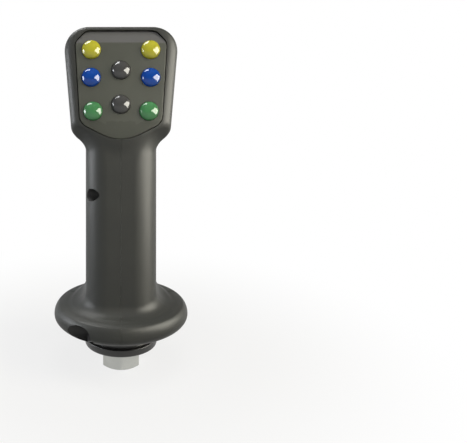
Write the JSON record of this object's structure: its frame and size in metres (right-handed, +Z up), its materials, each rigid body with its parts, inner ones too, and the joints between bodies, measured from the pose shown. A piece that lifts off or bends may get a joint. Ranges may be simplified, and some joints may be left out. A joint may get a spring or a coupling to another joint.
{
  "type": "joystick controller",
  "caption": "Upright control grip for a machine lever: inclined plate of push buttons in front, trigger button behind, round hand rest, boot collar and threaded hexagon.",
  "frame": {"origin": "mouth of the threaded hole, in the middle of the hexagon's lower face", "axes": "+Z up along the threaded hole, -Y towards the operator and the buttons, +Y towards the trigger, +X to the operator's right"},
  "size_m": [0.081, 0.1049, 0.2027],
  "materials": {
    "shell": "fine moulded grain, dark grey",
    "plate": "satin, dark grey",
    "seal": "soft",
    "yellow_cap": "satin yellow",
    "blue_cap": "satin blue",
    "green_cap": "satin green",
    "grey_cap": "satin dark grey",
    "trigger": "satin black",
    "switch": "black",
    "board": "green laminate",
    "connector": "natural",
    "guide": "natural, self-lubricating",
    "screw": "blackened",
    "insert": "turned",
    "collar": "black, turned look",
    "adapter": "machined, zinc plated"
  },
  "bodies": {
    "grip": {"left_shell": "shell", "right_shell": "shell", "faceplate": "plate", "faceplate_gasket": "seal", "switch_yellow_left": "switch", "switch_yellow_right": "switch", "switch_blue_left": "switch", "switch_blue_right": "switch", "switch_green_left": "switch", "switch_green_right": "switch", "switch_grey_upper": "switch", "switch_grey_lower": "switch", "circuit_board": "board", "board_screws": "screw", "board_connector": "connector", "trigger_guide": "guide", "trigger_switch": "switch", "large_shell_screws": "screw", "small_shell_screws": "screw", "large_inserts": "insert", "small_inserts": "insert", "boot_collar": "collar", "hex_adapter": "adapter"},
    "yellow_left": {"button_yellow_left": "yellow_cap"},
    "yellow_right": {"button_yellow_right": "yellow_cap"},
    "blue_left": {"button_blue_left": "blue_cap"},
    "blue_right": {"button_blue_right": "blue_cap"},
    "green_left": {"button_green_left": "green_cap"},
    "green_right": {"button_green_right": "green_cap"},
    "grey_upper": {"button_grey_upper": "grey_cap"},
    "grey_lower": {"button_grey_lower": "grey_cap"},
    "trigger": {"trigger_button": "trigger"}
  },
  "joints": [
    {"name": "yellow_left_press", "type": "slide", "parent": "grip", "child": "yellow_left", "axis": [0, 0.9272, -0.3746], "range_m": [0, 0.0015], "stiffness_N_per_m": 1000, "springref_m": -0.0005},
    {"name": "yellow_right_press", "type": "slide", "parent": "grip", "child": "yellow_right", "axis": [0, 0.9272, -0.3746], "range_m": [0, 0.0015], "stiffness_N_per_m": 1000, "springref_m": -0.0005},
    {"name": "blue_left_press", "type": "slide", "parent": "grip", "child": "blue_left", "axis": [0, 0.9272, -0.3746], "range_m": [0, 0.0015], "stiffness_N_per_m": 1000, "springref_m": -0.0005},
    {"name": "blue_right_press", "type": "slide", "parent": "grip", "child": "blue_right", "axis": [0, 0.9272, -0.3746], "range_m": [0, 0.0015], "stiffness_N_per_m": 1000, "springref_m": -0.0005},
    {"name": "green_left_press", "type": "slide", "parent": "grip", "child": "green_left", "axis": [0, 0.9272, -0.3746], "range_m": [0, 0.0015], "stiffness_N_per_m": 1000, "springref_m": -0.0005},
    {"name": "green_right_press", "type": "slide", "parent": "grip", "child": "green_right", "axis": [0, 0.9272, -0.3746], "range_m": [0, 0.0015], "stiffness_N_per_m": 1000, "springref_m": -0.0005},
    {"name": "grey_upper_press", "type": "slide", "parent": "grip", "child": "grey_upper", "axis": [0, 0.9272, -0.3746], "range_m": [0, 0.0015], "stiffness_N_per_m": 1000, "springref_m": -0.0005},
    {"name": "grey_lower_press", "type": "slide", "parent": "grip", "child": "grey_lower", "axis": [0, 0.9272, -0.3746], "range_m": [0, 0.0015], "stiffness_N_per_m": 1000, "springref_m": -0.0005},
    {"name": "trigger_press", "type": "slide", "parent": "grip", "child": "trigger", "axis": [0, -0.9659, 0.2588], "range_m": [0, 0.002], "stiffness_N_per_m": 1500, "springref_m": -0.0007}
  ]
}
